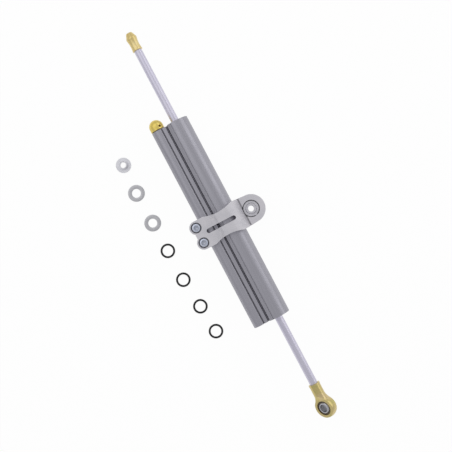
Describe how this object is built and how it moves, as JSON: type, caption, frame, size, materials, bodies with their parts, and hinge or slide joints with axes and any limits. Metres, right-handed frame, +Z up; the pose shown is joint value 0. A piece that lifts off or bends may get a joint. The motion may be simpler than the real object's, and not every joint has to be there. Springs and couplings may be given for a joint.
{
  "type": "steering damper",
  "caption": "Through-rod hydraulic steering damper: twin-lobe body, adjuster knob, split clamp with ball joint, rod end with ball joint, and loose mounting sleeve, washers and O-rings.",
  "frame": {"origin": "centre of the ball in the clamp's lug, on the axis of its bolt bore", "axes": "+X along the piston rod toward the rod end, +Y from the rod toward the lug, +Z up along the lug's bolt bore"},
  "size_m": [0.4279, 0.1171, 0.0362],
  "materials": {
    "grey_anodised": "satin grey anodised",
    "blasted_aluminium": "bead blasted satin",
    "turned_aluminium": "turned, natural",
    "hard_chrome": "ground and hard chromed",
    "gold_anodised": "gold anodised",
    "yellow_passivated": "zinc plated, yellow passivated",
    "zinc_steel": "bright zinc plated",
    "bright_steel": "ground",
    "black_steel": "phosphated",
    "bronze": "machined",
    "bronze_plastic": "filled PTFE",
    "black_rubber": "moulded"
  },
  "bodies": {
    "clamp": {"clamp": "blasted_aluminium", "clamp_screws": "zinc_steel", "lug_race": "bright_steel", "lug_circlip": "black_steel", "flanged_sleeve": "turned_aluminium", "plain_washers": "bright_steel", "loose_o_rings": "black_rubber"},
    "lug_ball": {"lug_ball": "bright_steel"},
    "barrel": {"body_extrusion": "grey_anodised", "cap_side_gland": "grey_anodised", "eye_side_gland": "grey_anodised", "gland_o_rings": "black_rubber", "rod_seals": "black_rubber", "rod_wipers": "black_rubber", "guide_bushes": "bronze", "gland_circlips": "bright_steel", "end_bumpers": "black_rubber", "adjuster_bush": "bronze", "bush_o_ring": "black_rubber", "needle_key": "bright_steel", "valve_seat": "bronze", "side_bore_plug": "bright_steel", "plug_o_ring": "black_rubber", "detent_ball": "bright_steel", "detent_spring": "bright_steel"},
    "piston_seal": {"piston_band": "bronze_plastic", "piston_o_ring": "black_rubber"},
    "rod": {"rod": "hard_chrome", "piston": "grey_anodised", "piston_circlips": "bright_steel", "end_cap": "gold_anodised", "rod_end": "yellow_passivated", "rod_end_race": "black_steel"},
    "rod_end_ball": {"rod_end_ball": "bright_steel"},
    "adjuster": {"adjuster_knob": "gold_anodised", "adjuster_spindle": "bright_steel", "knob_grub_screw": "black_steel", "spindle_o_ring": "black_rubber"},
    "needle": {"needle": "bright_steel"}
  },
  "joints": [
    {"name": "clamp_slide", "type": "slide", "parent": "clamp", "child": "barrel", "axis": [1, 0, 0], "range_m": [-0.08, 0.08]},
    {"name": "lug_ball_tilt", "type": "hinge", "parent": "clamp", "child": "lug_ball", "pos_m": [0, 0, 0], "axis": [1, 0, 0], "range_deg": [-13, 13]},
    {"name": "rod_slide", "type": "slide", "parent": "barrel", "child": "piston_seal", "axis": [1, 0, 0], "range_m": [-0.058, 0.062]},
    {"name": "rod_spin", "type": "hinge", "parent": "piston_seal", "child": "rod", "pos_m": [0, -0.026, 0], "axis": [1, 0, 0], "continuous": true},
    {"name": "rod_end_ball_tilt", "type": "hinge", "parent": "rod", "child": "rod_end_ball", "pos_m": [0.20755, -0.026, 0], "axis": [0, 0.7314, 0.682], "range_deg": [-13, 13]},
    {"name": "adjuster_turn", "type": "hinge", "parent": "barrel", "child": "adjuster", "pos_m": [-0.11045, -0.0452, 0], "axis": [1, 0, 0], "range_deg": [-180, 180]},
    {"name": "needle_slide", "type": "slide", "parent": "barrel", "child": "needle", "axis": [1, 0, 0], "range_m": [-0.0005, 0.0005]}
  ],
  "couplings": [
    {"joint": "adjuster_turn", "follows": "needle_slide", "rad_per_m": 6283.2}
  ]
}
